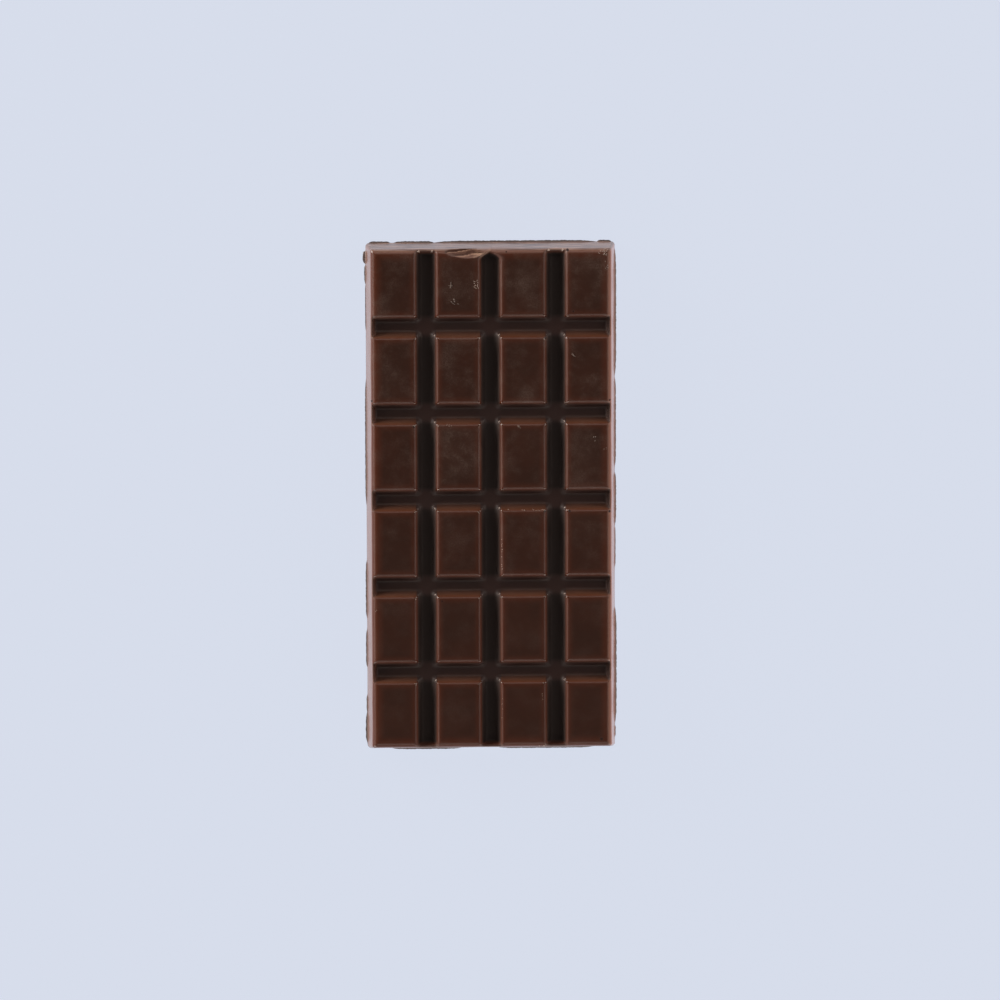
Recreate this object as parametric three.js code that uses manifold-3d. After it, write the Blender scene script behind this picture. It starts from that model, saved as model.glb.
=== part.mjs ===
/**
 * A moulded bar of chocolate: four columns by six rows of raised blocks on one
 * slab, cast face down in a mould and lying here on its flat poured back.
 *
 * Millimetres, +Z up. The origin is the middle of the back, which lies on z = 0.
 * The blocks face +Z and the bar's length runs along Y. The chipped block and
 * the groove that chocolate has filled are at the +Y end.
 */
import * as THREE from 'three';
import { mergeVertices } from 'three/addons/utils/BufferGeometryUtils.js';
import Module from 'manifold-3d';

// The slab
const BACK_WIDTH = 75.8; // along X, at the poured back
const BACK_LENGTH = 155.6; // along Y, at the poured back
const THICKNESS = 8.2;
const SIDE_DRAFT = 11; // degrees that the long walls lean in towards the face
const END_DRAFT = 10; // degrees that the end walls lean in
const CORNER_RADIUS = 1.2; // of the upright corners, at the back
const SHARPEST_CORNER = 0.5; // radius that those corners never go below
const RIM_RADIUS = 1.95; // rounding between the walls and the face

// The grooves between the blocks
const COLUMN_GROOVES = [-19.8, -0.3, 19.6]; // x of each, the third column a touch wider
const ROW_GROOVES = 5;
const ROW_PITCH = 26.5;
const ROW_CENTRE = -0.2; // y of the middle one
const GROOVE_WIDTH = 6.8; // across the mouth
const GROOVE_FLOOR = 3.0; // across the floor
const GROOVE_DEPTH = 3.0;
const EDGE_RADIUS = 1.2; // of the blocks' upper edges
const ROOT_RADIUS = 1.2; // where the walls meet the floor
const END_DEPTH = 0.7; // a groove's depth where it runs out over the bar's rim
const END_RUN = 1.1; // length over which its floor rises to that
const END_MARGIN = 1.8; // from the back's outline to the top of that rise

// Chocolate smeared over the +Y end of one column groove, in plan
const FILLED_GROOVE = 1;
const FILL_APEX = 1.6; // from the back's +Y edge to the groove's pointed end
const FILL_SHOULDER = 3.9; // and to the corners beside the point
const FILL_HALF_WIDTH = 3.6; // half the distance between those corners

// The shallow chip in the +Y edge of the second block: an ellipsoid is missing there
const CHIP_CENTRE = [-8.6, 77.3, 8.9];
const CHIP_RADII = [7.9, 3.6, 2.2];
const CHIP_TURN = -6; // degrees about Z, so that its +X end reaches further from the edge

// Flash: the thin skin left round the back by the mould's mouth, in broken stretches.
// from and to run along the side in the direction of +X or +Y, reach is outwards.
const FLASH_THICKNESS = 0.45;
const FLASH = {
	left: [
		{ from: -76.0, to: -66.9, reach: 0.65 },
		{ from: -66.7, to: -61.3, reach: 0.35 },
		{ from: -52.6, to: -41.0, reach: 0.45 },
		{ from: -37.5, to: -19.6, reach: 0.45 },
		{ from: -2.7, to: 36.3, reach: 0.42 },
		{ from: 51.0, to: 65.4, reach: 0.2 },
		{ from: 65.6, to: 71.1, reach: 0.48 },
		{ from: 71.3, to: 75.4, reach: 1.0 },
	],
	right: [
		{ from: -74.8, to: -71.1, reach: 0.32 },
		{ from: -70.9, to: -34.5, reach: 0.65 },
		{ from: -22.5, to: -9.4, reach: 0.3 },
		{ from: -9.2, to: 7.0, reach: 0.52 },
		{ from: 8.4, to: 36.4, reach: 0.46 },
		{ from: 36.6, to: 75.8, reach: 0.56 },
	],
	far: [
		{ from: -36.9, to: -30.4, reach: 0.55 },
		{ from: -29.2, to: -17.1, reach: 0.55 },
		{ from: -16.9, to: 32.3, reach: 0.62 },
		{ from: 32.5, to: 36.8, reach: 0.6 },
	],
	near: [
		{ from: -30.5, to: -9.0, reach: 0.5 },
		{ from: 2.0, to: 31.5, reach: 0.45 },
	],
};

// How finely curves are cut into flats
const ARC_STEPS = 4; // in each rounding of a groove's section
const RIM_STEPS = 4; // in the rounding round the face
const CORNER_STEPS = 6; // in each upright corner
const FLASH_STEP = 2.4; // between points on the edge of the flash

const CLEARANCE = 3; // how far cutters run past what they cut

const tan = (degrees) => Math.tan(THREE.MathUtils.degToRad(degrees));

const wasm = await Module();
wasm.setup();

/** A closed geometry as a solid that can be joined and cut. */
function toSolid(geometry) {
	const bare = geometry.clone();
	bare.deleteAttribute('normal');
	bare.deleteAttribute('uv');
	const merged = mergeVertices(bare, 1e-5);
	return new wasm.Manifold(new wasm.Mesh({
		numProp: 3,
		vertProperties: Float32Array.from(merged.attributes.position.array),
		triVerts: Uint32Array.from(merged.index.array),
	}));
}

/** The geometry of a solid. */
function toGeometry(solid) {
	const { vertProperties, triVerts } = solid.getMesh();
	const geometry = new THREE.BufferGeometry();
	geometry.setAttribute('position', new THREE.BufferAttribute(vertProperties, 3));
	geometry.setIndex(new THREE.BufferAttribute(triVerts, 1));
	geometry.computeVertexNormals();
	return geometry;
}

/** Points on an arc of a circle, both ends included; angles in radians. */
function arc(x, y, radius, from, to, steps) {
	return Array.from({ length: steps + 1 }, (_, i) => {
		const angle = from + (to - from) * i / steps;
		return new THREE.Vector2(x + radius * Math.cos(angle), y + radius * Math.sin(angle));
	});
}

/** A rounded rectangle about the origin, counterclockwise. */
function roundedRectangle(halfX, halfY, radius) {
	const quarter = Math.PI / 2;
	return [[1, 1], [-1, 1], [-1, -1], [1, -1]].flatMap(([signX, signY], i) =>
		arc(signX * (halfX - radius), signY * (halfY - radius), radius,
			i * quarter, (i + 1) * quarter, CORNER_STEPS));
}

/** How far a wall has leant in at a height: straight up to the rim, then round it. */
function inset(z, draft) {
	const rimStart = THICKNESS - RIM_RADIUS * (1 - Math.sin(THREE.MathUtils.degToRad(draft)));
	if (z <= rimStart) return z * tan(draft);
	const rimCentre = THICKNESS * tan(draft) + RIM_RADIUS * tan((90 - draft) / 2);
	const rise = z - (THICKNESS - RIM_RADIUS);
	return rimCentre - Math.sqrt(Math.max(RIM_RADIUS ** 2 - rise ** 2, 0));
}

/** The slab without grooves: rings of points at rising heights, joined by walls. */
function slab() {
	const lean = THREE.MathUtils.degToRad(90 - SIDE_DRAFT);
	const heights = [0];
	for (let i = RIM_STEPS; i >= 0; i--) {
		heights.push(THICKNESS - RIM_RADIUS * (1 - Math.cos(lean * i / RIM_STEPS)));
	}
	const rings = heights.map((z) => {
		const insetX = inset(z, SIDE_DRAFT);
		const insetY = inset(z, END_DRAFT);
		const radius = Math.max(CORNER_RADIUS - (insetX + insetY) / 2, SHARPEST_CORNER);
		return roundedRectangle(BACK_WIDTH / 2 - insetX, BACK_LENGTH / 2 - insetY, radius);
	});

	const around = rings[0].length;
	const positions = rings.flatMap((ring, level) =>
		ring.flatMap((point) => [point.x, point.y, heights[level]]));
	const indices = [];
	for (let level = 0; level < rings.length - 1; level++) {
		for (let i = 0; i < around; i++) {
			const a = level * around + i;
			const b = level * around + (i + 1) % around;
			indices.push(a, b, b + around, a, b + around, a + around);
		}
	}
	const top = (rings.length - 1) * around;
	for (const [a, b, c] of THREE.ShapeUtils.triangulateShape(rings[0], [])) {
		indices.push(c, b, a);
	}
	for (const [a, b, c] of THREE.ShapeUtils.triangulateShape(rings.at(-1), [])) {
		indices.push(top + a, top + b, top + c);
	}

	const geometry = new THREE.BufferGeometry();
	geometry.setAttribute('position', new THREE.Float32BufferAttribute(positions, 3));
	geometry.setIndex(indices);
	return toSolid(geometry);
}

/** A groove's section, its mouth at y = 0: sloping walls, rounded edges and roots. */
function grooveSection() {
	const run = (GROOVE_WIDTH - GROOVE_FLOOR) / 2;
	const slope = Math.atan2(GROOVE_DEPTH, run);
	const edgeX = GROOVE_WIDTH / 2 + EDGE_RADIUS * Math.tan(slope / 2);
	const rootX = GROOVE_FLOOR / 2 - ROOT_RADIUS * Math.tan(slope / 2);
	const quarter = Math.PI / 2;
	const half = [
		...arc(rootX, ROOT_RADIUS - GROOVE_DEPTH, ROOT_RADIUS, -quarter, slope - quarter, ARC_STEPS),
		...arc(edgeX, -EDGE_RADIUS, EDGE_RADIUS, slope + quarter, quarter, ARC_STEPS),
		new THREE.Vector2(edgeX, CLEARANCE),
	];
	const mirrored = half.map((point) => new THREE.Vector2(-point.x, point.y)).reverse();
	return new THREE.Shape([...mirrored, ...half]);
}

/** A straight cutter of a groove's section, running along Y at x = 0. */
function grooveCutter(section, length) {
	return new THREE.ExtrudeGeometry(section, { depth: length, bevelEnabled: false })
		.rotateX(Math.PI / 2)
		.translate(0, length / 2, THICKNESS);
}

/**
 * The room for one column groove on a bar of this length, seen from the side: a long
 * shape whose lower edge, which becomes the groove's floor, climbs towards both ends.
 */
function risingEndsRoom(length) {
	const climb = (GROOVE_DEPTH - END_DEPTH) / END_RUN;
	const top = length / 2 - END_MARGIN;
	const foot = top - (GROOVE_DEPTH + CLEARANCE - END_DEPTH) / climb;
	const past = length / 2 + 2 * CLEARANCE;
	const outline = new THREE.Shape()
		.moveTo(-past, -END_DEPTH)
		.lineTo(-top, -END_DEPTH)
		.lineTo(-foot, -GROOVE_DEPTH - CLEARANCE)
		.lineTo(foot, -GROOVE_DEPTH - CLEARANCE)
		.lineTo(top, -END_DEPTH)
		.lineTo(past, -END_DEPTH)
		.lineTo(past, 2 * CLEARANCE)
		.lineTo(-past, 2 * CLEARANCE);
	return new THREE.ExtrudeGeometry(outline, { depth: 2 * GROOVE_WIDTH, bevelEnabled: false })
		.translate(0, 0, -GROOVE_WIDTH)
		.rotateX(Math.PI / 2)
		.rotateZ(Math.PI / 2)
		.translate(0, 0, THICKNESS);
}

/** A cutter for one column groove at x = 0 through a bar of this length. */
function risingGroove(section, length) {
	const cutter = toSolid(grooveCutter(section, length + 2 * CLEARANCE));
	return cutter.intersect(toSolid(risingEndsRoom(length)));
}

/** The room left for the filled groove, seen from above: a strip with a pointed +Y end. */
function filledGrooveRoom() {
	const backEnd = BACK_LENGTH / 2;
	const slant = (FILL_SHOULDER - FILL_APEX) / FILL_HALF_WIDTH;
	const outline = new THREE.Shape()
		.moveTo(-2 * FILL_HALF_WIDTH, -BACK_LENGTH)
		.lineTo(2 * FILL_HALF_WIDTH, -BACK_LENGTH)
		.lineTo(2 * FILL_HALF_WIDTH, backEnd - FILL_APEX - 2 * FILL_HALF_WIDTH * slant)
		.lineTo(0, backEnd - FILL_APEX)
		.lineTo(-2 * FILL_HALF_WIDTH, backEnd - FILL_APEX - 2 * FILL_HALF_WIDTH * slant);
	return new THREE.ExtrudeGeometry(outline, { depth: 2 * THICKNESS, bevelEnabled: false });
}

/** One stretch of flash along X, its root inside the slab and its edge worn uneven. */
function flashStretch({ from, to, reach }) {
	const steps = Math.max(4, Math.round((to - from) / FLASH_STEP));
	const edge = Array.from({ length: steps + 1 }, (_, i) => {
		const along = i / steps;
		const fade = 1 - Math.abs(2 * along - 1) ** 6;
		const x = from + (to - from) * along;
		const wear = 0.86 + 0.14 * Math.sin(1.9 * x) * Math.cos(0.7 * x);
		return new THREE.Vector2(x, reach * fade * wear);
	});
	const root = -CLEARANCE / 2;
	const outline = new THREE.Shape([
		new THREE.Vector2(from, root),
		new THREE.Vector2(to, root),
		...edge.reverse(),
	]);
	return new THREE.ExtrudeGeometry(outline, { depth: FLASH_THICKNESS, bevelEnabled: false });
}

/** All the flash, each side's stretches turned and carried out to that side. */
function flash() {
	const placed = {
		left: (stretch) => stretch.rotateZ(Math.PI / 2).translate(-BACK_WIDTH / 2, 0, 0),
		right: (stretch) => stretch.rotateZ(-Math.PI / 2).translate(BACK_WIDTH / 2, 0, 0),
		far: (stretch) => stretch.translate(0, BACK_LENGTH / 2, 0),
		near: (stretch) => stretch.rotateZ(Math.PI).translate(0, -BACK_LENGTH / 2, 0),
	};
	// A half or quarter turn sends the stretch's own direction to -X or -Y on these sides.
	const reversed = { right: true, near: true };
	return Object.entries(FLASH).flatMap(([side, stretches]) =>
		stretches.map(({ from, to, reach }) => {
			const run = reversed[side] ? { from: -to, to: -from, reach } : { from, to, reach };
			return toSolid(placed[side](flashStretch(run)));
		}));
}

const section = grooveSection();

const columnCutters = COLUMN_GROOVES.map((x, i) => {
	const cutter = risingGroove(section, BACK_LENGTH);
	const shaped = i === FILLED_GROOVE ? cutter.intersect(toSolid(filledGrooveRoom())) : cutter;
	return shaped.translate([x, 0, 0]);
});

const rowCutters = Array.from({ length: ROW_GROOVES }, (_, i) => {
	const y = ROW_CENTRE + (i - (ROW_GROOVES - 1) / 2) * ROW_PITCH;
	return risingGroove(section, BACK_WIDTH).rotate([0, 0, 90]).translate([0, y, 0]);
});

const chip = toSolid(new THREE.SphereGeometry(1, 28, 16)
	.scale(...CHIP_RADII)
	.rotateZ(THREE.MathUtils.degToRad(CHIP_TURN))
	.translate(...CHIP_CENTRE));

const joined = flash().reduce((solid, stretch) => solid.add(stretch), slab());
const carved = [...columnCutters, ...rowCutters, chip]
	.reduce((solid, cutter) => solid.subtract(cutter), joined);

const chocolate = new THREE.MeshStandardMaterial({
	color: 0x4a2a20,
	roughness: 0.38,
	metalness: 0,
	flatShading: true,
});

const bar = new THREE.Mesh(toGeometry(carved), chocolate);
bar.name = 'bar';

const chocolateBar = new THREE.Group();
chocolateBar.add(bar);

export default chocolateBar;
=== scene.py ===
"""The dressed chocolate bar: one fine casting, crumbs on it, the table, the lights and the camera."""
import math

import bpy
import numpy as np
from mathutils import Matrix, Vector


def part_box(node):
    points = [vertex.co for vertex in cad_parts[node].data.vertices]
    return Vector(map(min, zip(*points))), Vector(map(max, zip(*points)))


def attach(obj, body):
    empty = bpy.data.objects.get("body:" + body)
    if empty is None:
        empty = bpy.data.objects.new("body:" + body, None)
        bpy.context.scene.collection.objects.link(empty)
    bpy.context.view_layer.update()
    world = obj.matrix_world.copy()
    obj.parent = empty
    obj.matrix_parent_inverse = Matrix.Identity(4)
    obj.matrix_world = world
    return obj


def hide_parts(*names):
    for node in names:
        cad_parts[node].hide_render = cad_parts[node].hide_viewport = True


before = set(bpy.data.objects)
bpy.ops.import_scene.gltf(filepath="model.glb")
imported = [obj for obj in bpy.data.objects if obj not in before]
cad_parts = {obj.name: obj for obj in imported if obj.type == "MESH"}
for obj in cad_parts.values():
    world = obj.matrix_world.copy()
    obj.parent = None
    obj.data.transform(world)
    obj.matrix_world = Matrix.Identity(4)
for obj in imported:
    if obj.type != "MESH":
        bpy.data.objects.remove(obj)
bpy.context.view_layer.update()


# ---------------------------------------------------------------------------------------
# The slab. One casting of milk chocolate, poured face down into a mould and knocked out.
# Its four walls lean in by the mould's draft and round over into the face. The bar lies
# on its flat poured back, and its shape is worked out in millimetres.
# ---------------------------------------------------------------------------------------
METRES = 0.001  # in a millimetre
LOW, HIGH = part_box("bar")
THICKNESS = (HIGH.z - LOW.z) / METRES
BACK = np.array([37.9, 77.8])  # half the width and half the length of the back
DRAFT = np.radians([11.0, 10.0])  # lean of the long walls and of the end walls
CORNER_RADIUS = 1.2  # of the upright corners, at the back
RIM_RADIUS = 1.95  # between walls and face
WALL_HEIGHTS = [0.46, 0.9, 1.8, 2.9, 4.0, 4.9, 5.5, 5.8, 6.1, 6.3, 6.5]
RIM_ANGLES = np.radians([15, 22, 29, 36, 43, 50, 57, 64, 72, 80])


def inset(height, draft):
    """How far in a wall stands: height times tan(draft) up to the rim, then along the rim's arc."""
    rim_start = THICKNESS - RIM_RADIUS * (1 - math.sin(draft))
    rim_centre = THICKNESS * math.tan(draft) + RIM_RADIUS * math.tan((math.pi / 2 - draft) / 2)
    rise = np.clip(height - (THICKNESS - RIM_RADIUS), 0, RIM_RADIUS)
    on_rim = rim_centre - np.sqrt(RIM_RADIUS**2 - rise**2)
    return np.where(height <= rim_start, height * math.tan(draft), on_rim)


FACE_INSET = np.array([inset(THICKNESS, draft) for draft in DRAFT])  # from the back's outline


def ripple(x, y, wavelength, seed):
    """A smooth random field between about -1 and 1: nine plane waves of mixed heading and phase."""
    random = np.random.default_rng(seed)
    total = np.zeros(np.broadcast(x, y).shape)
    for heading, phase, stretch in random.uniform((0, 0, 0.6), (math.tau, math.tau, 1.7), (9, 3)):
        run = x * math.cos(heading) + y * math.sin(heading)
        total += np.sin(run * math.tau / (wavelength * stretch) + phase)
    return total / 3


# ---------------------------------------------------------------------------------------
# The grooves. The mould's ribs leave three grooves along the bar and five across it, with
# sloping walls, rounded edges and roots, and a flat floor. Each ends in a short steep wall
# just inside the bar's rim, and only a shallow trace of it crosses the rim.
# ---------------------------------------------------------------------------------------
COLUMN_GROOVES = [-19.8, -0.3, 19.6]
ROW_GROOVES = [-53.2, -26.7, -0.2, 26.3, 52.8]
HALF_MOUTH = 3.4  # half the groove's width at the face
WALL_RUN = 1.9  # sideways, from the mouth to the floor
GROOVE_DEPTH = 3.0
ROUND = 1.2  # radius of the edges and of the roots
SLOPE = math.atan2(GROOVE_DEPTH, WALL_RUN)
TURN = ROUND * math.tan(SLOPE / 2)  # where a round starts, before the corner that it takes off
BLOCK_CORNER = 0.45  # width over which two edges of a block blend into each other
CORNER_SPREAD = 2.5  # growth of that width by the floor, against its width at the face
END_DEPTH = 0.7  # of the trace that crosses the rim
END_RUN = 1.1  # length over which the floor rises to that
END_MARGIN = 1.8  # from the back's outline to the top of that rise
END_ROUND = 0.9  # softness of the corner at the rise's foot
RIM_ROUND = 0.6  # and of the edge where a groove cuts through the rim


def groove_depth(reach):
    """Depth at a distance in from a groove's mouth: an arc, a straight wall, an arc, the floor."""
    arc_run = ROUND * math.sin(SLOPE)
    edge = ROUND - np.sqrt(ROUND**2 - np.clip(reach + TURN, 0, arc_run) ** 2)
    root_start = WALL_RUN + TURN
    root_run = np.clip(root_start - reach, 0, arc_run)
    root = GROOVE_DEPTH - ROUND + np.sqrt(ROUND**2 - root_run**2)
    wall = reach * math.tan(SLOPE)
    return np.select(
        [reach < arc_run - TURN, reach < root_start - arc_run], [edge, wall], root
    )


def blend_max(a, b, width):
    """The larger of two fields; where they lie within a width of each other, a parabola joins them."""
    width = np.maximum(width, 1e-6)
    overlap = np.clip(1 - np.abs(a - b) / width, 0, 1)
    return np.maximum(a, b) + overlap**2 * width / 4


def blend_min(a, b, width):
    """The smaller of two fields, joined like blend_max."""
    return -blend_max(-a, -b, width)


def groove_reach(across, centres):
    """How far inside the nearest groove's mouth a place lies, negative outside it."""
    return np.max([HALF_MOUTH - np.abs(across - centre) for centre in centres], axis=0)


def margin_of(x, y):
    """How far inside the back's outline a place lies: the smaller of its distances to a side and an end."""
    return np.minimum(BACK[0] - np.abs(x), BACK[1] - np.abs(y))


def fade(value, start, end):
    """0 up to start, 1 past end, and a straight line between them."""
    return np.clip((value - start) / (end - start), 0, 1)


# ---------------------------------------------------------------------------------------
# Marks of knocking out and handling. The far end of the middle groove is filled by smeared
# chocolate that leaves it a pointed end, and the second block has lost a shallow chip with
# a streaky scar. Air left a few pinholes where edges meet, and fingers smudged some blocks.
# ---------------------------------------------------------------------------------------
CUTS_START = 4.0  # height on the walls above which the chip, the pinholes and the face's waves reach
FILL_APEX = 1.6  # from the back's end to the middle groove's point
FILL_SHOULDER = 3.9  # and to its shoulders
FILL_HALF_WIDTH = 3.6
FILL_STEEPNESS = 1.5  # of that end, against a groove's wall
FILL_ROUND = 0.9
CHIP_CENTRE = (-8.6, 77.3, 8.9)
CHIP_RADII = (7.9, 3.6, 2.2)
CHIP_TURN = math.radians(-6)  # its right end lies lower
CHIP_GRAIN = math.radians(4.7)  # the scar's streaks climb to the right by this
CHIP_STREAK = 1.3  # between streaks
CHIP_STEP = 0.5  # up from one streak to the next
CHIP_WANDER = 0.16  # of the streaks' lines, as a share of the distance between them
CHIP_TOOTH = 0.03  # height of the scar's fine roughness
FLAKE_FROM = (-5.6, 73.5)  # x and y past which the scar's crests have flaked pale
SMEAR_X, SMEAR_SPREAD, SMEAR_Y = 1.5, 5.5, 75.0  # the smeared chocolate's middle, its spread and its start
PINHOLE_DEPTH = 0.3  # as a share of its radius
PINHOLES = [  # x, y, radius
    (23.2, 76.1, 0.50), (16.4, 49.3, 0.45), (-23.5, 22.5, 0.45), (36.0, 30.2, 0.36),
    (23.7, -3.8, 0.45), (35.9, -4.0, 0.42), (16.2, -3.8, 0.40), (24.9, 57.4, 0.30),
    (-36.3, 30.3, 0.40), (4.6, 75.7, 0.28), (-15.2, -31.2, 0.28), (33.4, -74.2, 0.50),
]
SMUDGES = [  # x, y, radius, strength, of the bloom that fingers or the mould left on the blocks
    (9.9, 67.0, 7.0, 0.5), (31.3, 70.1, 8.0, 0.55), (-11.4, 72.1, 6.0, 0.3), (-33.8, 58.9, 3.2, 0.5),
    (-32.2, 36.5, 5.0, 0.9), (11.0, 33.0, 4.0, 0.6), (31.3, 35.5, 4.0, 0.5), (-10.4, 18.2, 7.0, 0.6),
    (-12.4, 13.2, 6.0, 0.7), (27.2, 12.1, 8.0, 0.75), (11.0, 18.5, 5.0, 0.4), (28.2, -8.2, 6.0, 0.6),
    (-33.8, -30.5, 3.2, 0.5),
]


def fill_reach(x, y):
    """Distance in from the middle groove's pointed end, seen from above as two straight flanks."""
    slant = (FILL_SHOULDER - FILL_APEX) / FILL_HALF_WIDTH
    short_of_flank = BACK[1] - FILL_APEX - y - slant * np.abs(x - COLUMN_GROOVES[1])
    return short_of_flank * math.cos(math.atan(slant))


def chip_streak(x, y):
    """How far up its own streak of the scar a place lies: 0 at the streak's foot, 1 at its crest."""
    across = (y - CHIP_CENTRE[1]) * math.cos(CHIP_GRAIN) - (x - CHIP_CENTRE[0]) * math.sin(CHIP_GRAIN)
    return (across / CHIP_STREAK + CHIP_WANDER * ripple(x, y, 7.0, 3)) % 1.0


def chip_surface(x, y):
    """Height of the scar: an ellipsoid's lower half, broken into saw-tooth streaks along its grain."""
    away_x, away_y = x - CHIP_CENTRE[0], y - CHIP_CENTRE[1]
    u = (away_x * math.cos(CHIP_TURN) + away_y * math.sin(CHIP_TURN)) / CHIP_RADII[0]
    v = (away_y * math.cos(CHIP_TURN) - away_x * math.sin(CHIP_TURN)) / CHIP_RADII[1]
    inside = np.clip(1 - u**2 - v**2, 0, 1)
    bowl = CHIP_CENTRE[2] - CHIP_RADII[2] * np.sqrt(inside)
    rough = CHIP_STEP * (chip_streak(x, y) - 0.5) + CHIP_TOOTH * ripple(x, y, 0.9, 4)
    return bowl + rough * fade(inside, 0, 0.3)


def moulded_height(x, y, wall_height):
    """Height of the casting at a place, under a wall of the given height, with all that is cut away."""
    middle = groove_reach(x, [COLUMN_GROOVES[1]])
    middle = blend_min(middle, FILL_STEEPNESS * fill_reach(x, y), FILL_ROUND)
    outer = groove_reach(x, [COLUMN_GROOVES[0], COLUMN_GROOVES[2]])
    along, across = np.maximum(middle, outer), groove_reach(y, ROW_GROOVES)
    corner = BLOCK_CORNER * (1 + CORNER_SPREAD * fade(np.maximum(along, across), 0.2, 1.4))
    reach = blend_max(along, across, corner)
    rise = (1 - fade(margin_of(x, y), END_MARGIN, END_MARGIN + END_RUN)) * (GROOVE_DEPTH - END_DEPTH)
    depth = blend_min(groove_depth(reach), GROOVE_DEPTH - rise, END_ROUND * fade(rise, 0, 0.4))
    drop = THICKNESS - wall_height
    softness = RIM_ROUND * fade(np.minimum(drop, depth), 0, 0.3)
    height = blend_min(wall_height, THICKNESS - depth, softness)
    for hole_x, hole_y, radius in PINHOLES:
        away = ((x - hole_x) ** 2 + (y - hole_y) ** 2) / radius**2
        height = height - PINHOLE_DEPTH * radius * np.exp(-2 * away) * (wall_height > CUTS_START)
    return np.minimum(height, np.where(wall_height > CUTS_START, chip_surface(x, y), height))


# ---------------------------------------------------------------------------------------
# The flash. Chocolate that crept under the scraper round the mould's mouth leaves a thin
# skin on the back's outline. It has snapped off unevenly, so it comes in broken stretches.
# ---------------------------------------------------------------------------------------
LIP_HEIGHTS = [0.0, 0.12, 0.30, 0.42]
LIP_SHARES = np.array([0.75, 1.0, 0.95, 0.5])  # of the reach, at each of those heights
FLASH = {  # from, to, reach
    "left": [(-76.0, -66.9, 0.65), (-66.7, -61.3, 0.35), (-52.6, -41.0, 0.45), (-37.5, -19.6, 0.45),
             (-2.7, 36.3, 0.42), (51.0, 65.4, 0.2), (65.6, 71.1, 0.48), (71.3, 75.4, 1.0)],
    "right": [(-74.8, -71.1, 0.32), (-70.9, -34.5, 0.65), (-22.5, -9.4, 0.3), (-9.2, 7.0, 0.52),
              (8.4, 36.4, 0.46), (36.6, 75.8, 0.56)],
    "far": [(-36.9, -30.4, 0.55), (-29.2, -17.1, 0.55), (-16.9, 32.3, 0.62), (32.5, 36.8, 0.6)],
    "near": [(-30.5, -9.0, 0.5), (2.0, 31.5, 0.45)],
}


def flash_reach(side, along):
    """How far the flash stands out along one side.

    Each stretch fades at its ends by a high power, and waves wear off up to a third of it.
    """
    reach = np.zeros(np.shape(along))
    for start, end, most in FLASH[side]:
        middle = np.clip(2 * (along - start) / (end - start) - 1, -1, 1)
        wear = 0.84 + 0.10 * np.sin(1.9 * along) * np.cos(0.7 * along) + 0.06 * np.sin(5.3 * along)
        reach = np.maximum(reach, most * (1 - np.abs(middle) ** 8) * wear)
    return reach


# ---------------------------------------------------------------------------------------
# The bar's surface. Rings of points climb the flash, the walls and the rim, and inside the
# last ring a grid of lines, closer where the form turns, carries the blocks and grooves.
# The back is a coarser, slightly uneven sheet, as chocolate sets when it is scraped.
# ---------------------------------------------------------------------------------------
FACE_STEP = np.array([0.5, 0.75])  # between grid lines on the blocks, across and along the bar
SCAR_STEP = np.array([0.36, 0.16])
SCAR_SPAN, SCAR_START = (-17.2, -3.2), 73.2  # the finer grid's columns, and where its rows start
ARC_POINTS, WALL_POINTS, ROOT_POINTS = 7, 2, 6
BACK_STRIDE = 7  # grid lines to one line of the back
BACK_WAVES, WALL_WAVES, FACE_WAVES = 0.07, 0.035, 0.012  # heights of the unevenness
RIGHT_ENDS = 33  # x past which a place lies by the row grooves' right ends
BLOOM_AND_SHEEN_TOP = 7.55  # height that the walls' pale bloom and painted sheen reach on the right and near walls
FAR_RAISE, LEFT_DROP = 0.4, 0.25  # how much higher it reaches on the far wall, and lower on the left one


def groove_lines(centre):
    """Grid lines over one groove: evenly turned along both arcs, and evenly spaced between them."""
    edge = -TURN + ROUND * np.sin(np.linspace(0, SLOPE, ARC_POINTS))
    root = WALL_RUN + TURN - ROUND * np.sin(np.linspace(SLOPE, 0, ROOT_POINTS))
    wall = np.linspace(edge[-1], root[0], WALL_POINTS + 2)[1:-1]
    floor = (root[-1] + HALF_MOUTH) / 2
    half = np.concatenate([edge, wall, root, [floor]])
    offsets = np.concatenate([half - HALF_MOUTH, [0], (HALF_MOUTH - half)[::-1]])
    return centre + offsets


def grid_lines(centres, limit, step, fine=()):
    """All grid lines of one direction: each groove's own, and even ones between, closer in fine spans."""
    grooves = [groove_lines(centre) for centre in centres]
    starts = [-limit] + [lines[-1] for lines in grooves]
    ends = [lines[0] for lines in grooves] + [limit]
    spans = [(start, end, step) for start, end in zip(starts, ends)]
    for low, high, fine_step in fine:
        for start, end, old_step in [s for s in spans if s[0] < high and s[1] > low]:
            spans.remove((start, end, old_step))
            middle = (max(start, low), min(end, high), fine_step)
            cuts = [(start, low, old_step), middle, (high, end, old_step)]
            spans += [cut for cut in cuts if cut[1] - cut[0] > 1e-6]
    even = [np.linspace(a, b, max(2, round((b - a) / s) + 1)) for a, b, s in spans]
    return np.unique(np.round(np.concatenate(grooves + even), 5))


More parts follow.
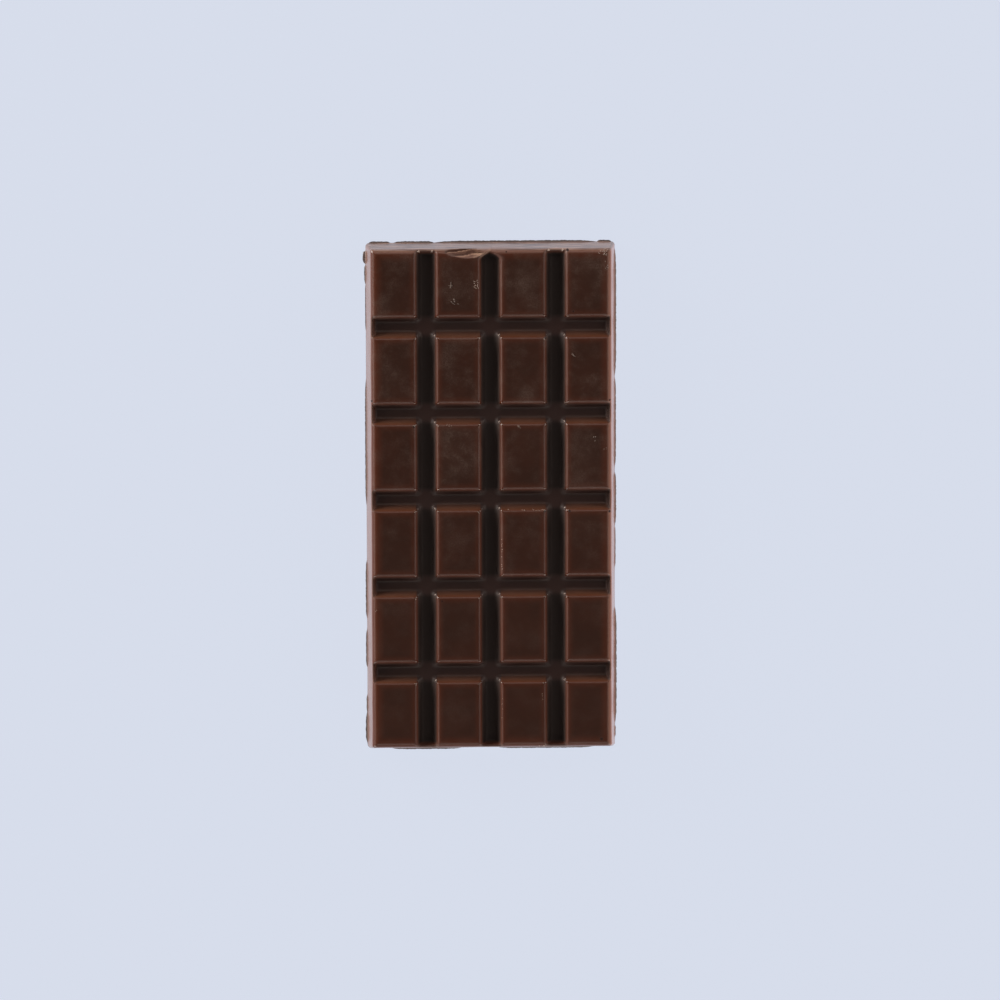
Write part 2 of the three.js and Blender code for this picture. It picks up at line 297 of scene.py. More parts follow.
RING_HEIGHTS = np.concatenate([
    LIP_HEIGHTS, WALL_HEIGHTS, THICKNESS - RIM_RADIUS * (1 - np.sin(RIM_ANGLES)), [THICKNESS],
])
RINGS = len(RING_HEIGHTS)
LAST = RINGS - 1
face_half = BACK - FACE_INSET
x_lines = grid_lines(COLUMN_GROOVES, face_half[0], FACE_STEP[0], [(*SCAR_SPAN, SCAR_STEP[0])])
y_lines = grid_lines(ROW_GROOVES, face_half[1], FACE_STEP[1], [(SCAR_START, face_half[1], SCAR_STEP[1])])
nx, ny = len(x_lines) + 2 * LAST, len(y_lines) + 2 * LAST
i, j = np.meshgrid(np.arange(nx), np.arange(ny), indexing="ij")
from_x, from_y = np.minimum(i, nx - 1 - i), np.minimum(j, ny - 1 - j)
ring = np.minimum(np.minimum(from_x, from_y), LAST)
grid_x = np.pad(x_lines, LAST, mode="edge")[i]
grid_y = np.pad(y_lines, LAST, mode="edge")[j]

# A point of a ring stands on a straight side or on a corner's arc, at an angle from +X or -X.
heights = RING_HEIGHTS[ring]
insets = np.stack([inset(RING_HEIGHTS, DRAFT[0]), inset(RING_HEIGHTS, DRAFT[1])])
corner_radii = CORNER_RADIUS * (1 - insets.mean(axis=0) / FACE_INSET.mean())
past_corner = np.clip((np.maximum(from_x, from_y) - ring) / np.maximum(LAST - ring, 1), 0, 1)
angle = math.pi / 4 * np.where(from_x <= from_y, 1 - past_corner, 1 + past_corner)
normal_x = np.cos(angle) * np.sign(i - (nx - 1) / 2)
normal_y = np.sin(angle) * np.sign(j - (ny - 1) / 2)
straight = BACK[:, None] - insets - corner_radii
x = grid_x / face_half[0] * straight[0][ring] + normal_x * corner_radii[ring]
y = grid_y / face_half[1] * straight[1][ring] + normal_y * corner_radii[ring]
inside = ring == LAST
x, y = np.where(inside, grid_x, x), np.where(inside, grid_y, y)
normal_x, normal_y = np.where(inside, 0, normal_x), np.where(inside, 0, normal_y)

# The flash stands out along the wall's own direction.
shares = np.zeros(RINGS)
shares[:len(LIP_SHARES)] = LIP_SHARES
side_reach = np.where(normal_x < 0, flash_reach("left", y), flash_reach("right", y))
end_reach = np.where(normal_y > 0, flash_reach("far", x), flash_reach("near", x))
x = x + shares[ring] * normal_x * np.abs(normal_x) * side_reach
y = y + shares[ring] * normal_y * np.abs(normal_y) * end_reach

# The mould's walls and faces aren't quite true.
on_wall = (1 - fade(heights, THICKNESS - 2, THICKNESS)) * fade(heights, 0, 1)
x = x + WALL_WAVES * on_wall * normal_x * ripple(y, heights, 9.0, 11)
y = y + WALL_WAVES * on_wall * normal_y * ripple(x, heights, 9.0, 12)
z = moulded_height(x, y, heights)
z = z - np.where(heights > CUTS_START, FACE_WAVES * (1 + ripple(x, y, 11.0, 13)), 0)

top_points = np.stack([x, y, z], axis=-1).reshape(-1, 3)
index = i * ny + j
quads = np.stack([index[:-1, :-1], index[1:, :-1], index[1:, 1:], index[:-1, 1:]], axis=-1)
faces = quads.reshape(-1, 4).tolist()

# The back: a sheet of wide cells inside the first ring, and many-sided cells from it out to the ring.
back_i = np.unique(np.append(np.arange(LAST, nx - LAST, BACK_STRIDE), nx - 1 - LAST))
back_j = np.unique(np.append(np.arange(LAST, ny - LAST, BACK_STRIDE), ny - 1 - LAST))
back_x, back_y = np.meshgrid(grid_x[back_i, 0], grid_y[0, back_j], indexing="ij")
back_z = BACK_WAVES * (1 + np.clip(ripple(back_x, back_y, 21.0, 21), -1, 1))
back_points = np.stack([back_x, back_y, back_z], axis=-1).reshape(-1, 3)
back_index = len(top_points) + np.arange(back_x.size).reshape(back_x.shape)
cells = [back_index[:-1, :-1], back_index[:-1, 1:], back_index[1:, 1:], back_index[1:, :-1]]
faces += np.stack(cells, axis=-1).reshape(-1, 4).tolist()
for a, b in zip(range(len(back_i) - 1), back_i):
    span = np.arange(b, back_i[a + 1] + 1)
    faces.append([*index[span[::-1], 0], back_index[a, 0], back_index[a + 1, 0]])
    faces.append([*index[span, -1], back_index[a + 1, -1], back_index[a, -1]])
for a, b in zip(range(len(back_j) - 1), back_j):
    span = np.arange(b, back_j[a + 1] + 1)
    faces.append([*index[0, span], back_index[0, a + 1], back_index[0, a]])
    faces.append([*index[-1, span[::-1]], back_index[-1, a], back_index[-1, a + 1]])
first_i, last_i, first_j, last_j = back_i[0], back_i[-1], back_j[0], back_j[-1]
faces.append([*index[first_i:0:-1, 0], *index[0, :first_j + 1], back_index[0, 0]])
faces.append([*index[0, last_j:], *index[1:first_i + 1, -1], back_index[0, -1]])
faces.append([*index[last_i:-1, -1], *index[-1, last_j:][::-1], back_index[-1, -1]])
faces.append([*index[-1, :first_j + 1][::-1], *index[last_i:-1, 0][::-1], back_index[-1, 0]])

points = np.concatenate([top_points, back_points]) * METRES
bar_mesh = bpy.data.meshes.new("moulded_bar")
bar_mesh.from_pydata(points.tolist(), [], [[int(v) for v in face] for face in faces])
bar_mesh.polygons.foreach_set("use_smooth", np.ones(len(bar_mesh.polygons), bool))
moulded_bar = bpy.data.objects.new("moulded_bar", bar_mesh)
bpy.context.collection.objects.link(moulded_bar)
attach(moulded_bar, "root")
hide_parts("bar")

# What the finish needs to know of a place, kept on the mesh. But for the streak's height, each value is
# 1 on its feature and fades to 0 round it.
middle_flank = fill_reach(x, y)
middle = np.minimum(groove_reach(x, [COLUMN_GROOVES[1]]), middle_flank)
along = np.maximum(groove_reach(x, [COLUMN_GROOVES[0], COLUMN_GROOVES[2]]), middle)
across = groove_reach(y, ROW_GROOVES)
reach = blend_max(along, across, BLOCK_CORNER)
to_rim = -np.minimum(face_half[0] - np.abs(x), face_half[1] - np.abs(y))
from_rows = np.array([centre - y for centre in ROW_GROOVES])
below_a_row = np.any((from_rows >= 0) & (from_rows < HALF_MOUTH + 0.5), axis=0)
uncut = fade(z - heights, -0.3, -0.1)
rise_start = END_MARGIN + END_RUN
end_wall = (1 - fade(margin_of(x, y), rise_start - 0.6, rise_start + 0.2)) * (1 - uncut)
end_wall = end_wall * fade(THICKNESS - z, 0.5, 1.2)
flash_there = fade(np.hypot(side_reach * normal_x, end_reach * normal_y), 0, 0.15)
bloom_and_sheen_top = BLOOM_AND_SHEEN_TOP + FAR_RAISE * np.clip(normal_y, 0, 1) - LEFT_DROP * np.clip(-normal_x, 0, 1)
smudges = [most * np.exp(-((x - spot_x) ** 2 + (y - spot_y) ** 2) / size**2)
           for spot_x, spot_y, size, most in SMUDGES]
masks = {
    # The blocks and the grooves.
    "edge": fade(np.maximum(reach, to_rim), -1.9, 0) * (reach < 0.6),
    "root": fade(THICKNESS - z, 0.8, 1.6) * (1 - uncut),
    "shaft": fade(groove_reach(x, COLUMN_GROOVES), -0.3, 0.7) * (1 - fade(across, -0.2, 1.2)),
    "lower": fade(across, 0, 0.5) * (1 - fade(across, 0.8, 2.8)) * (along < 0.3) * below_a_row,
    "mitre": (1 - fade(np.abs(along - across), 0, 0.6)) * fade(reach, -0.4, -0.1)
             * (1 - fade(reach, 0.6, 1.1)),
    "thin": end_wall,
    "right_end": end_wall * (x > RIGHT_ENDS),
    "smudge": np.sum(smudges, axis=0),
    # The walls, the rim and the flash.
    "rim": fade(heights, 6.2, 7.2) * (1 - fade(heights, THICKNESS - 0.3, THICKNESS)) * uncut,
    "wall": (1 - fade(heights, bloom_and_sheen_top - 0.5, bloom_and_sheen_top)) * uncut,
    "flash": (heights < WALL_HEIGHTS[0]) * (normal_x < 0.5) * flash_there,
    "right": fade(normal_x, 1 / 3, 1),
    "far": fade(normal_y, 1 / 3, 1),
    # The chip, and the chocolate that fills the middle groove's end.
    "scar": fade(heights - z, 0.06, 0.26) * (chip_surface(x, y) < z + 0.05),
    "streak": chip_streak(x, y),
    "flake": fade(x, FLAKE_FROM[0], FLAKE_FROM[0] + 0.5) * (y > FLAKE_FROM[1]),
    "smear": np.exp(-((x - SMEAR_X) / SMEAR_SPREAD) ** 2) * fade(y, SMEAR_Y, SMEAR_Y + 0.8)
             * fade(heights, 4.6, 5.6),
    "flank_highlight": (1 - fade(np.abs(middle_flank), 0, 0.7)) * (x < COLUMN_GROOVES[1]) * (x > -3.4) * (z > 6.6),
    "filled": (1 - fade(np.abs(middle_flank), 0, 1.2)) * (x > COLUMN_GROOVES[1] + 0.3) * (x < 4.2),
}
masks["wall"] *= 1 - masks["flash"]
for name, mask in masks.items():
    values = np.concatenate([mask.reshape(-1), np.zeros(len(back_points))])
    layer = bar_mesh.attributes.new(name, "FLOAT", "POINT")
    layer.data.foreach_set("value", values.astype(np.float32))


# ---------------------------------------------------------------------------------------
# The chocolate's finish: dark milk brown with a satin skin from the mould, hazed by bloom and scuffs, and
# pale and dull where it has broken. Light and shade are painted into it as well: a red glow where the block
# edges are thin, lighter floors, lower walls and end walls in the grooves, near-black shade in the column
# grooves, the pinholes and the row grooves' right ends, a lit rim, and walls that are pale partly with
# bloom and partly with a painted sheen, so that they catch light along their whole length.
# ---------------------------------------------------------------------------------------
BROWN = (0.034, 0.0077, 0.0023, 1)
DEEP_BROWN = (0.027, 0.0067, 0.0021, 1)
EDGE_GLOW = (0.070, 0.0135, 0.0035, 1)
LOWER_WALL_LIGHT = (0.085, 0.028, 0.011, 1)
PIT_SHADE = (0.018, 0.0025, 0.0005, 1)
ROW_FLOOR_LIGHT = (0.050, 0.024, 0.022, 1)
END_WALL_LIGHT = (0.085, 0.025, 0.013, 1)
SHAFT_SHADE = (0.012, 0.0040, 0.0020, 1)
FLASH_BROWN_AND_SHADE = (0.050, 0.034, 0.032, 1)
FOOT_BLOOM_AND_SHEEN = (0.16, 0.115, 0.105, 1)
RIM_LIGHT = (0.18, 0.067, 0.039, 1)
BLOOM = (0.100, 0.060, 0.046, 1)
LEFT_BLOOM_AND_SHEEN = (0.160, 0.076, 0.054, 1)
RIGHT_BLOOM_AND_SHEEN = (0.330, 0.125, 0.080, 1)
FAR_BLOOM_AND_SHEEN = (0.060, 0.034, 0.028, 1)
FAR_STREAK_BLOOM_AND_SHEEN = (0.25, 0.150, 0.115, 1)
SCAR_FOOT_SHADE = (0.060, 0.022, 0.014, 1)
SCAR_BROWN = (0.135, 0.060, 0.042, 1)
SCAR_TAN_AND_HIGHLIGHT = (0.34, 0.20, 0.13, 1)


class Signal:
    """A shader socket. Arithmetic on it adds Math nodes, and node() adds a node of any other kind."""

    def __init__(self, tree, socket=None):
        self.tree, self.socket = tree, socket

    def node(self, kind, settings, inputs, output=0):
        """Adds a node, sets it, fills or joins its sockets, and gives one of its outputs."""
        made = self.tree.nodes.new("ShaderNode" + kind)
        for name, value in settings.items():
            setattr(made, name, value)
        for name, value in inputs.items():
            if isinstance(value, Signal):
                self.tree.links.new(value.socket, made.inputs[name])
            else:
                made.inputs[name].default_value = value
        return Signal(self.tree, made.outputs[output])

    def math(self, operation, a, b=0.0):
        return self.node("Math", {"operation": operation}, {0: a, 1: b})

    def __add__(self, other):
        return self.math("ADD", self, other)

    def __sub__(self, other):
        return self.math("SUBTRACT", self, other)

    def __rsub__(self, other):
        return self.math("SUBTRACT", other, self)

    def __mul__(self, other):
        return self.math("MULTIPLY", self, other)

    __radd__, __rmul__ = __add__, __mul__

    def ramp(self, low, high):
        """0 below low, 1 above high, and a smooth step between them."""
        return self.node("MapRange", {"interpolation_type": "SMOOTHSTEP"},
                         {"Value": self, "From Min": low, "From Max": high})

    def tint(self, colour, share):
        """This colour with a share of another mixed in."""
        return self.node("Mix", {"data_type": "RGBA"}, {0: share, 6: self, 7: colour}, output=2)

    def between(self, low_colour, high_colour):
        """A colour that goes from one to the other as this value goes from 0 to 1."""
        return self.node("Mix", {"data_type": "RGBA"}, {0: self, 6: low_colour, 7: high_colour}, output=2)

    def part(self, axis):
        """One coordinate of this vector."""
        return self.node("SeparateXYZ", {}, {0: self}, output=axis)

    def scaled(self, factors):
        """This vector times a factor on each axis."""
        return self.node("VectorMath", {"operation": "MULTIPLY"}, {0: self, 1: factors})

    def noise(self, scale, detail=3.0, roughness=0.5, distortion=0.0):
        """Cloudy noise at this place, between 0 and 1."""
        return self.node("TexNoise", {}, {"Vector": self, "Scale": scale, "Detail": detail,
                                          "Roughness": roughness, "Distortion": distortion})

    def attribute(self, name):
        """A value that is kept on the mesh."""
        return self.node("Attribute", {"attribute_name": name}, {}, output="Fac")


def new_finish(name):
    """A material, a signal to build its nodes from, and its Principled shader."""
    material = bpy.data.materials.new(name)
    material.use_nodes = True
    tree = material.node_tree
    return material, Signal(tree), tree.nodes["Principled BSDF"]


chocolate, start, shader = new_finish("satin_chocolate")
edge, root, shaft, lower, mitre = map(start.attribute, ["edge", "root", "shaft", "lower", "mitre"])
thin, right_end, smudge = map(start.attribute, ["thin", "right_end", "smudge"])
rim, wall, flash, side, far = map(start.attribute, ["rim", "wall", "flash", "right", "far"])
scar, streak, flake, smear = map(start.attribute, ["scar", "streak", "flake", "smear"])
flank_highlight, filled = map(start.attribute, ["flank_highlight", "filled"])

place = start.node("TexCoord", {}, {}, output="Object").scaled((1 / METRES,) * 3)
low = 1 - place.part("Z").ramp(0.35, 0.6)  # at the walls' foot by the flash, where their painted sheen turns greyer and paler
upper = place.part("Y").ramp(-60.0, 50.0)  # towards the far end
pits, flat = 0.0, place.scaled((1, 1, 0))
for hole_x, hole_y, radius in PINHOLES:
    away = start.node("VectorMath", {"operation": "DISTANCE"}, {0: flat, 1: (hole_x, hole_y, 0)}, "Value")
    pits = (1 - away.ramp(radius * 0.6, radius * 1.1)) + pits

clouds = place.noise(0.09, 3.0, 0.55)
grain = place.noise(2.2, 4.0, 0.6)
mottle = place.noise(0.55, 6.0, 0.75).ramp(0.48, 0.72)
haze = place.noise(0.13, 6.0, 0.68).ramp(0.42, 0.70)
streaks = place.scaled((0.12, 0.12, 1.6)).noise(1.0, 5.0, 0.65, 0.5).ramp(0.32, 0.68)
wall_clouds = place.noise(0.12, 2.0, 0.5).ramp(0.35, 0.65)
scar_streaks = place.scaled((0.30, 2.6, 0.6)).noise(1.0, 4.0, 0.65, 0.4)

# The blocks and the grooves, with the haze and the smudges on them.
colour = clouds.ramp(0.3, 0.7).between(DEEP_BROWN, BROWN)
# Painted glow: the block edges are tinted redder, standing in for light that shines through the thin
# chocolate there.
colour = colour.tint(EDGE_GLOW, edge * 0.8)
# Painted shade: the deep parts of the column grooves are tinted nearly black for the shade in them.
colour = colour.tint(SHAFT_SHADE, root * shaft * 0.8)
# Painted light: the row grooves' floors are tinted lighter and bluer, standing in for the light that they
# reflect.
colour = colour.tint(ROW_FLOOR_LIGHT, root * (1 - shaft) * 0.35)
# Painted light: the row grooves' lower walls, which face the far end, are tinted a lighter warm brown as if
# lit.
colour = colour.tint(LOWER_WALL_LIGHT, lower * 0.65)
# Painted light and shade: the grooves' end walls are tinted a lighter red-brown as if lit, and those at the
# row grooves' right ends are then tinted nearly black as painted shade.
colour = colour.tint(END_WALL_LIGHT, thin).tint(SHAFT_SHADE, right_end * 0.8)
hazed = (haze * grain.ramp(0.30, 0.65) * 0.40 + mottle * 0.12) * (0.3 + upper * 0.7) + 0.03
hazed = hazed + smudge * (0.10 + mottle * 0.22 + haze * 0.12)
colour = colour.tint(BLOOM, hazed * (1 - root))

# The rim, the flash and the walls. The walls are pale partly with bloom and partly with a painted sheen
# that stands in for the light they reflect: brightest on the right, deeper on the far wall, where the bloom
# shows streaks, and greyer at their foot.
# Painted light: the rim is tinted a lighter warm brown, fully on the right side, partly on the far end and
# slightly elsewhere, as if lit there.
colour = colour.tint(RIM_LIGHT, rim * (0.09 + side * 0.91 + far * 0.35))
# The flash on the left and at the ends is tinted a dark greyish brown: partly its own unbloomed chocolate,
# partly painted shade along the outline.
colour = colour.tint(FLASH_BROWN_AND_SHADE, flash * 0.9)
bloom_and_sheen = side.between(LEFT_BLOOM_AND_SHEEN, RIGHT_BLOOM_AND_SHEEN)
bloom_and_sheen = bloom_and_sheen.tint(FAR_BLOOM_AND_SHEEN, far).tint(FAR_STREAK_BLOOM_AND_SHEEN, far * streaks).tint(FOOT_BLOOM_AND_SHEEN, low)
colour = colour.tint(bloom_and_sheen, wall * (0.78 + streaks * 0.12 + wall_clouds * 0.06))

# The scar, the smeared end of the middle groove and the pinholes.
colour = colour.tint(SCAR_BROWN, smear * scar_streaks.ramp(0.35, 0.6) * 0.8)
# Painted shade and highlight: each streak of the scar is tinted darker at its foot, under the step, and
# paler at its crest, over the paler broken chocolate and its flakes.
colour = colour.tint(streak.ramp(0.15, 0.6).between(SCAR_FOOT_SHADE, SCAR_BROWN), scar)
crests = streak.ramp(0.75, 0.95) * 0.5 + scar_streaks.ramp(0.45, 0.7) * (0.25 + flake * 0.75)
colour = colour.tint(SCAR_TAN_AND_HIGHLIGHT, scar * crests)
# Painted highlight: the left flank of the middle groove's pointed end is tinted pale tan along its edge.
colour = colour.tint(SCAR_TAN_AND_HIGHLIGHT, flank_highlight * 0.35)
# Painted shade: the pinholes are tinted nearly black for the shade inside them.
colour = colour.tint(PIT_SHADE, pits)
start.tree.links.new(colour.socket, shader.inputs["Base Color"])

skin = 0.36 + haze * 0.04 + grain * 0.05 - mitre * 0.30 - rim * (1 - side) * 0.1
duller = root * 0.16 + root * shaft * 0.15 + thin * 0.35 + filled * 0.35 + pits * 0.5
roughness = skin + duller + scar * 0.35 + smear * 0.2
start.tree.links.new(roughness.socket, shader.inputs["Roughness"])
coat = wall * (1 - scar) * (1 - rim * 0.6)
start.tree.links.new(coat.socket, shader.inputs["Coat Weight"])
shader.inputs["Coat Roughness"].default_value = 0.2
shader.inputs["Coat IOR"].default_value = 1.3
shader.inputs["IOR"].default_value = 1.5
shader.inputs["Specular IOR Level"].default_value = 0.5

relief = grain * 0.25 + wall * streaks * 0.4 + (scar + smear * 0.7) * scar_streaks * 2.0
bump = start.node("Bump", {}, {"Strength": 0.35, "Distance": 0.00012, "Height": relief})
start.tree.links.new(bump.socket, shader.inputs["Normal"])
bar_mesh.materials.append(chocolate)


# ---------------------------------------------------------------------------------------
# Crumbs. Scraps of the chip and of the snapped flash lie on the blocks and cling to their edges, and pale
# ones set at the far groove ends, on the near rim, along a block edge and on the block corners by the
# crossings stand in for glints, as painted highlights. They are slivers about a fifth of a millimetre wide,
# each a low pebble of eight sides.
# ---------------------------------------------------------------------------------------
CRUMB_PATCHES = [  # x, y, half the spread in x and in y, number, length, heading and its spread, paleness
    (-4.5, 65.9, 0.7, 1.3, 16, 0.40, 60, 90, 0.9), (-11.3, 65.7, 1.0, 0.4, 4, 1.6, 88, 6, 0.15),
    (-12.6, 65.3, 0.7, 0.5, 3, 0.9, -20, 12, 0.25), (-10.9, 60.8, 1.5, 0.9, 7, 1.0, -38, 12, 0.2),
    # Painted highlights: pale crumbs at the far ends of the outer column grooves stand in for the glints
    # there.
    (-22.0, 75.9, 0.3, 0.25, 9, 0.6, 0, 90, 1.0), (-17.9, 75.9, 0.3, 0.25, 9, 0.6, 0, 90, 1.0),
    (17.5, 76.1, 0.3, 0.2, 8, 0.6, 0, 90, 1.0), (21.7, 76.1, 0.3, 0.2, 8, 0.6, 0, 90, 1.0),
    (25.4, 44.0, 0.8, 0.5, 4, 1.4, -50, 10, 0.3),
    (34.0, 75.4, 1.4, 0.9, 18, 0.60, 20, 60, 0.6), (35.2, 71.6, 0.6, 1.6, 12, 0.5, 70, 40, 0.4),
    (-23.6, 22.6, 0.5, 0.4, 4, 0.35, 0, 90, 0.5), (-13.0, 22.8, 0.9, 0.3, 5, 0.5, 5, 20, 0.5),
    (8.3, 22.2, 0.7, 0.4, 5, 0.45, 30, 40, 0.4), (22.3, 29.2, 0.4, 0.5, 4, 0.4, 40, 60, 0.7),
    (31.4, 18.6, 0.5, 0.9, 4, 0.45, 70, 30, 0.3), (34.6, 15.7, 0.4, 0.5, 3, 0.4, 50, 60, 0.3),
    # Painted highlight: the second patch lines a block's edge with pale crumbs that stand in for its
    # sparkle.
    (35.2, 25.4, 0.3, 1.6, 4, 0.4, 85, 20, 0.4), (3.1, -17.3, 0.12, 5.0, 12, 0.32, 90, 30, 0.9),
    (11.0, -3.4, 6.0, 0.25, 12, 0.40, 0, 30, 0.8), (15.4, -59.0, 0.15, 3.0, 5, 0.32, 90, 30, 0.8),
    (3.1, -64.0, 0.12, 3.5, 5, 0.30, 90, 30, 0.7), (-35.3, -34.0, 0.3, 0.5, 3, 0.35, 0, 90, 0.6),
    # Painted highlight: pale crumbs on the near rim stand in for a glint.
    (15.6, -76.2, 1.6, 0.08, 5, 0.55, 0, 8, 1.0),
]
for groove_x in COLUMN_GROOVES:
    for groove_y in ROW_GROOVES:
        CRUMB_PATCHES += [
            # Painted highlight: the first patch sets pale crumbs on a block corner by each crossing,
            # standing in for the corner's glint.
            (groove_x + 2.65, groove_y - 2.65, 0.06, 0.06, 3, 0.75, 45, 60, 1.0),
            (groove_x - 2.7, groove_y - 2.8, 0.08, 0.08, 1, 0.45, -45, 20, 0.6),
            (groove_x + 3.4, groove_y - 3.5, 0.3, 0.2, 1, 0.42, 45, 90, 0.8),
            (groove_x - 3.5, groove_y - 3.6, 0.5, 0.4, 2, 0.38, 0, 90, 0.5),
            (groove_x + 3.5, groove_y + 3.3, 0.5, 0.4, 2, 0.32, 0, 90, 0.5),
        ]
CRUMB_HALF_WIDTHS, CRUMB_HEIGHTS = (0.07, 0.12), (0.07, 0.13)
CRUMB_RINGS = [(1.0, -0.4), (0.85, 0.5), (0.45, 0.9)]  # share of its size, share of its height
CRUMB_SIDES = 8
CRUMB_POINTS = CRUMB_SIDES * len(CRUMB_RINGS) + 1
CRUMB_BROWN = (0.055, 0.030, 0.022, 1)
PALE_CRUMB_AND_GLINT = (0.48, 0.36, 0.30, 1)

random = np.random.default_rng(31)
crumbs = []
for middle_x, middle_y, spread_x, spread_y, number, length, heading, scatter, paleness in CRUMB_PATCHES:
    for _ in range(number):
        spot = (middle_x + spread_x * random.uniform(-1, 1), middle_y + spread_y * random.uniform(-1, 1))
        turned = math.radians(heading + scatter * random.uniform(-1, 1))
        half_length = length * random.uniform(0.5, 1.1) / 2
        half_width, crumb_height = random.uniform(*CRUMB_HALF_WIDTHS), random.uniform(*CRUMB_HEIGHTS)
        crumbs.append([*spot, turned, half_length, half_width, crumb_height, paleness])
spot_x, spot_y, turned, half_length, half_width, crumb_height, paleness = np.array(crumbs).T[:, :, None]
nearest = np.argmin((x.reshape(1, -1) - spot_x) ** 2 + (y.reshape(1, -1) - spot_y) ** 2, axis=1)
ground = z.reshape(-1)[nearest][:, None]

# Rings of points round each crumb, the lowest one sunk in the surface, and one point on top.
around = np.arange(CRUMB_SIDES) * math.tau / CRUMB_SIDES
size, lift = np.array(CRUMB_RINGS + [(0.0, 1.0)]).T
size, lift = np.repeat(size, CRUMB_SIDES), np.repeat(lift, CRUMB_SIDES)
u = half_length * size * np.tile(np.cos(around), len(CRUMB_RINGS) + 1)
v = half_width * size * np.tile(np.sin(around), len(CRUMB_RINGS) + 1)
crumb_points = np.stack([
    spot_x + u * np.cos(turned) - v * np.sin(turned),
    spot_y + u * np.sin(turned) + v * np.cos(turned),
    np.broadcast_to(ground + crumb_height * lift, u.shape),
], axis=-1)
crumb_points = crumb_points[:, :CRUMB_POINTS]
crumb_faces = []
for first in range(0, len(crumbs) * CRUMB_POINTS, CRUMB_POINTS):
    crumb_faces.append([first + corner for corner in range(CRUMB_SIDES)][::-1])
    top = first + CRUMB_POINTS - 1
    for corner in range(CRUMB_SIDES):
        after = (corner + 1) % CRUMB_SIDES
        for low_ring in range(first, top - CRUMB_SIDES, CRUMB_SIDES):
            high_ring = low_ring + CRUMB_SIDES
            crumb_faces.append([low_ring + corner, low_ring + after, high_ring + after, high_ring + corner])
        crumb_faces.append([top - CRUMB_SIDES + corner, top - CRUMB_SIDES + after, top])

crumb_mesh = bpy.data.meshes.new("crumbs")
crumb_mesh.from_pydata((crumb_points.reshape(-1, 3) * METRES).tolist(), [], crumb_faces)
crumb_mesh.polygons.foreach_set("use_smooth", np.ones(len(crumb_mesh.polygons), bool))
layer = crumb_mesh.attributes.new("pale", "FLOAT", "POINT")
layer.data.foreach_set("value", np.repeat(paleness.reshape(-1), CRUMB_POINTS).astype(np.float32))
crumb_object = bpy.data.objects.new("crumbs", crumb_mesh)
bpy.context.collection.objects.link(crumb_object)
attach(crumb_object, "root")

crumb_and_glint_finish, start, shader = new_finish("crumb_and_glint_chocolate")
crumb_colour = start.attribute("pale").between(CRUMB_BROWN, PALE_CRUMB_AND_GLINT)
start.tree.links.new(crumb_colour.socket, shader.inputs["Base Color"])
shader.inputs["Roughness"].default_value = 0.5
crumb_mesh.materials.append(crumb_and_glint_finish)


# ---------------------------------------------------------------------------------------
# The table. A plain pale cool-grey sheet that glows evenly, as a lit studio sweep does, so
# that its light reaches the bar's walls from right beside them. From below it is clear.
# ---------------------------------------------------------------------------------------
TABLE_HALF = 4.0  # metres
TABLE_GLOW = (0.655, 0.70, 0.81, 1)
TABLE_GREY = (0.03, 0.03, 0.03, 1)

table_mesh = bpy.data.meshes.new("table")
corners = [(-TABLE_HALF, -TABLE_HALF, 0), (TABLE_HALF, -TABLE_HALF, 0),
           (TABLE_HALF, TABLE_HALF, 0), (-TABLE_HALF, TABLE_HALF, 0)]
table_mesh.from_pydata(corners, [], [(0, 1, 2, 3)])
table = bpy.data.objects.new("table", table_mesh)
bpy.context.collection.objects.link(table)

pale, start, shader = new_finish("pale_table")
shader.inputs["Base Color"].default_value = TABLE_GREY
shader.inputs["Roughness"].default_value = 0.6
shader.inputs["Specular IOR Level"].default_value = 0.0
shader.inputs["Emission Color"].default_value = TABLE_GLOW
shader.inputs["Emission Strength"].default_value = 1.0
below = start.node("NewGeometry", {}, {}, output="Backfacing")
clear = start.node("BsdfTransparent", {}, {})
seen = start.node("MixShader", {}, {0: below, 1: Signal(start.tree, shader.outputs[0]), 2: clear})
start.tree.links.new(seen.socket, start.tree.nodes["Material Output"].inputs["Surface"])
pale.cycles.emission_sampling = "NONE"
table_mesh.materials.append(pale)


# ---------------------------------------------------------------------------------------
# The lights: large soft boxes that stand round the bar, the four at its corners low and
# bright, the far left one most of all. The ceiling is dark, so that edges catch light and
# the faces, which mirror the ceiling, stay deep.
# ---------------------------------------------------------------------------------------
LIGHT_DISTANCE = 1.6
SOFTBOX_WIDTH = 1.2
WATTS_A_METRE = 4  # that a square metre of soft box takes for a radiance of 1
WARM = (1.0, 0.96, 0.90)
SOFTBOXES = [  # name, azimuth anticlockwise from +X, elevation, height, radiance
    ("far_left", 150, 8, 0.45, 20.0),
    ("far_right", 30, 8, 0.45, 7.6),
    ("near_left", 237, 8, 0.45, 6.8),
    ("near_right", 303, 8, 0.45, 6.0),
    ("left", 180, 22, 0.6, 1.6),
    ("right", 0, 38, 0.6, 1.3),
    ("far", 90, 40, 0.6, 1.4),
    ("near", 270, 42, 0.6, 1.15),
]
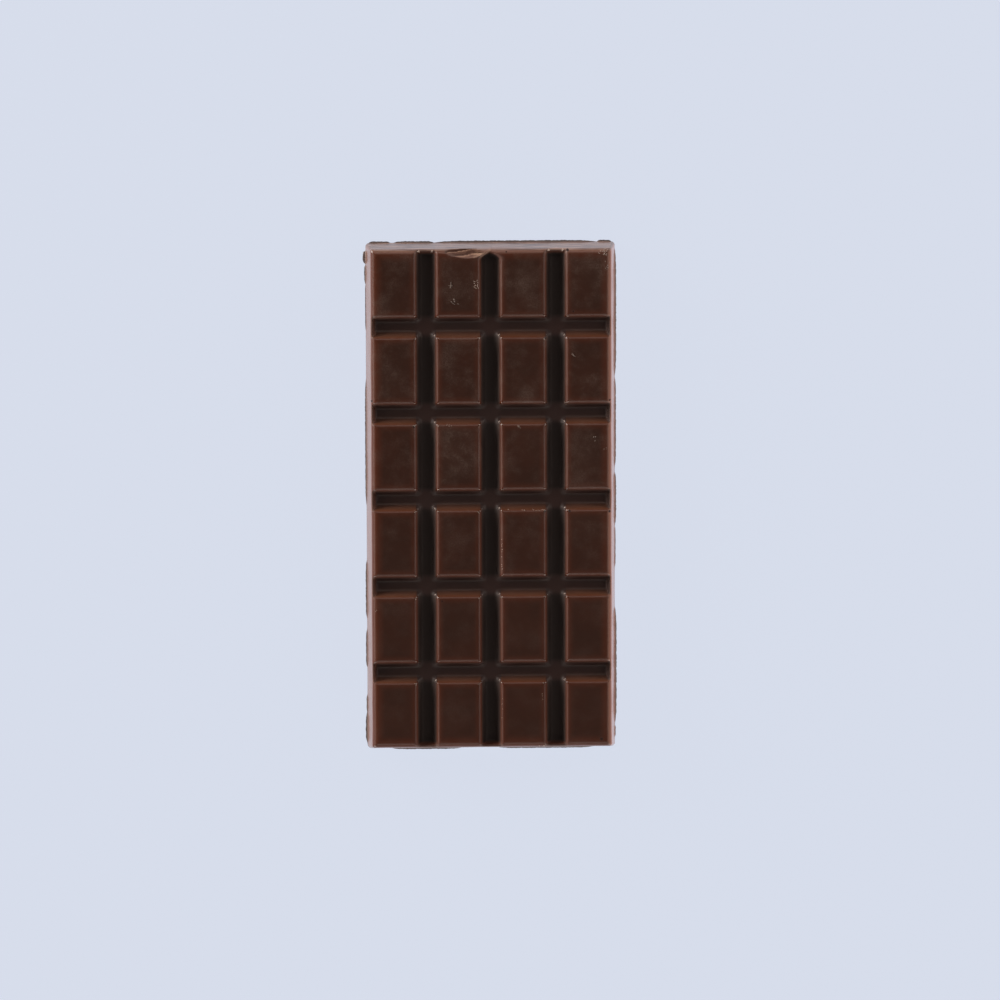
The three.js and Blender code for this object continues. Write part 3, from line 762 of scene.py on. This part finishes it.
for name, azimuth, elevation, height, radiance in SOFTBOXES:
    lamp = bpy.data.lights.new(name + "_softbox", "AREA")
    lamp.shape = "RECTANGLE"
    lamp.size, lamp.size_y = SOFTBOX_WIDTH, height
    lamp.energy = WATTS_A_METRE * SOFTBOX_WIDTH * height * radiance
    lamp.color = WARM
    softbox = bpy.data.objects.new(name + "_softbox", lamp)
    turn, climb = math.radians(azimuth), math.radians(elevation)
    towards = Vector((math.cos(turn) * math.cos(climb), math.sin(turn) * math.cos(climb), math.sin(climb)))
    softbox.location = towards * LIGHT_DISTANCE
    softbox.rotation_euler = towards.to_track_quat("Z", "Y").to_euler()
    softbox.visible_camera = False
    bpy.context.collection.objects.link(softbox)

# The room: dim above the table, bright under it, and pale where the camera looks past the table.
ROOM_DIM = (0.030, 0.031, 0.034, 1)
ROOM_BELOW = (0.75, 0.78, 0.85, 1)
ROOM_SEEN = (0.672, 0.716, 0.823, 1)
room = bpy.data.worlds.new("room")
room.use_nodes = True
bpy.context.scene.world = room
sky = Signal(room.node_tree)
direction = sky.node("TexCoord", {}, {}, output="Generated")
seen_by_camera = sky.node("LightPath", {}, {}, output="Is Camera Ray")
lit = direction.part("Z").ramp(-0.02, 0.0).between(ROOM_BELOW, ROOM_DIM)
shown = lit.tint(ROOM_SEEN, seen_by_camera)
sky.tree.links.new(shown.socket, room.node_tree.nodes["Background"].inputs["Color"])


# ---------------------------------------------------------------------------------------
# The camera: a long lens that looks down on the bar from a little towards its far end and
# its left side, so that the far wall and the left wall show more than the others.
# ---------------------------------------------------------------------------------------
LENS, SENSOR = 300.0, 36.0
DISTANCE = 2.542
TILT = math.radians(8.2)  # towards the far end
TURN_ASIDE = math.radians(2.2)  # towards the left
ROLL = math.radians(0.14)
AIM_OFFSET = (2.83 * METRES, -1.33 * METRES)  # of the view's middle from the bar's, right and up

toward = Vector((-math.sin(TURN_ASIDE), math.sin(TILT), math.cos(TILT))).normalized()
right = Vector((0, 1, 0)).cross(toward).normalized()
upright = toward.cross(right)
camera_x = right * math.cos(ROLL) - upright * math.sin(ROLL)
camera_y = upright * math.cos(ROLL) + right * math.sin(ROLL)
target = camera_x * AIM_OFFSET[0] + camera_y * AIM_OFFSET[1]
lens = bpy.data.cameras.new("camera")
lens.lens, lens.sensor_width = LENS, SENSOR
camera = bpy.data.objects.new("camera", lens)
camera.matrix_world = Matrix.Translation(target + toward * DISTANCE) @ Matrix(
    (camera_x, camera_y, toward)).transposed().to_4x4()
bpy.context.collection.objects.link(camera)
bpy.context.scene.camera = camera
bpy.context.scene.view_settings.view_transform = "Standard"
